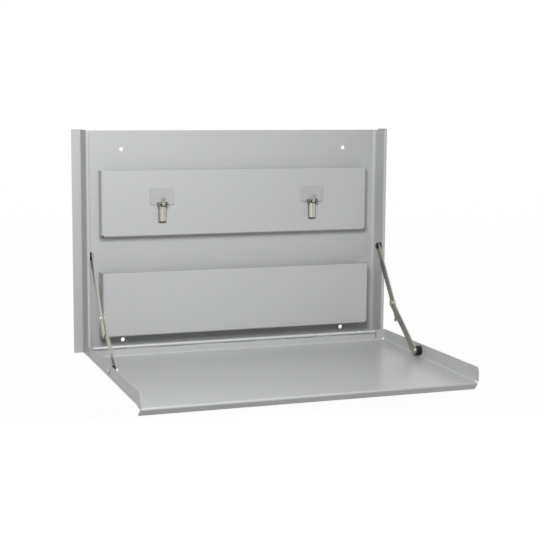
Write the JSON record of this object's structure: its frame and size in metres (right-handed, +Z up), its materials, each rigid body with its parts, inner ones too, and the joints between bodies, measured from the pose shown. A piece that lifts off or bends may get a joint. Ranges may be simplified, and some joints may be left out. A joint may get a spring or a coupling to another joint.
{
  "type": "fold down wall desk",
  "caption": "Wall hung sheet steel desk with a tray that folds up on a continuous hinge, two open document pockets, spring clips and folding side stays.",
  "frame": {"origin": "centre of the four wall screw holes on the wall face of the back panel", "axes": "+Z up, -Y out of the wall towards the person at the desk, +X to the right as seen from the front; the tray is open in the rest pose"},
  "size_m": [0.576, 0.3956, 0.3984],
  "materials": {
    "panel_paint": "light grey satin powder coat",
    "hinge_steel": "light grey satin powder coat",
    "stay_steel": "zinc plated flat bar, satin",
    "rivet_steel": "zinc plated, satin",
    "black_nylon": "matt",
    "clip_plating": "warm nickel plate, polished",
    "black_steel": "black oxide"
  },
  "bodies": {
    "panel": {"back_panel": "panel_paint", "upper_pocket": "panel_paint", "lower_pocket": "panel_paint", "hinge_leaf_panel": "hinge_steel", "hinge_pin": "hinge_steel", "upper_pivot_rivets": "rivet_steel", "upper_pivot_washers": "black_nylon", "clip_plate_left": "panel_paint", "clip_plate_right": "panel_paint", "clip_base_left": "clip_plating", "clip_base_right": "clip_plating", "clip_pins": "black_steel", "clip_springs": "black_steel", "clip_rivets": "clip_plating"},
    "tray": {"tray": "panel_paint", "hinge_leaf_tray": "hinge_steel", "lower_pivot_rivets": "rivet_steel", "lower_pivot_spacers": "black_nylon"},
    "upper_bar_left": {"stay_upper_left": "stay_steel", "knee_rivet_outer_left": "rivet_steel"},
    "lower_bar_left": {"stay_lower_left": "stay_steel", "lower_bar_rivets_left": "rivet_steel"},
    "clip_jaw_left": {"clip_jaw_left": "clip_plating"},
    "upper_bar_right": {"stay_upper_right": "stay_steel", "knee_rivet_outer_right": "rivet_steel"},
    "lower_bar_right": {"stay_lower_right": "stay_steel", "lower_bar_rivets_right": "rivet_steel"},
    "clip_jaw_right": {"clip_jaw_right": "clip_plating"}
  },
  "joints": [
    {"name": "tray_fold", "type": "hinge", "parent": "panel", "child": "tray", "pos_m": [0, -0.04542, -0.1677], "axis": [-1, 0, 0], "range_deg": [0, 90]},
    {"name": "stay_upper_left", "type": "hinge", "parent": "panel", "child": "upper_bar_left", "pos_m": [-0.26243, -0.0305, -0.0135], "axis": [-1, 0, 0], "range_deg": [-42.45, 0]},
    {"name": "stay_lower_left", "type": "hinge", "parent": "tray", "child": "lower_bar_left", "pos_m": [-0.26003, -0.19242, -0.1752], "axis": [-1, 0, 0], "range_deg": [0, 18.57]},
    {"name": "stay_upper_right", "type": "hinge", "parent": "panel", "child": "upper_bar_right", "pos_m": [0.26243, -0.0305, -0.0135], "axis": [-1, 0, 0], "range_deg": [-42.45, 0]},
    {"name": "stay_lower_right", "type": "hinge", "parent": "tray", "child": "lower_bar_right", "pos_m": [0.26003, -0.19242, -0.1752], "axis": [-1, 0, 0], "range_deg": [0, 18.57]},
    {"name": "clip_open_left", "type": "hinge", "parent": "panel", "child": "clip_jaw_left", "pos_m": [-0.137, -0.0254, 0.0705], "axis": [-1, 0, 0], "range_deg": [0, 25], "stiffness_Nm_per_rad": 0.15, "springref_deg": -22.92},
    {"name": "clip_open_right", "type": "hinge", "parent": "panel", "child": "clip_jaw_right", "pos_m": [0.137, -0.0254, 0.0705], "axis": [-1, 0, 0], "range_deg": [0, 25], "stiffness_Nm_per_rad": 0.15, "springref_deg": -22.92}
  ],
  "couplings": [
    {"joint": "stay_upper_left", "follows": "tray_fold", "ratio": -0.4715},
    {"joint": "stay_lower_left", "follows": "tray_fold", "ratio": 0.2062},
    {"joint": "stay_upper_right", "follows": "tray_fold", "ratio": -0.4715},
    {"joint": "stay_lower_right", "follows": "tray_fold", "ratio": 0.2062}
  ]
}
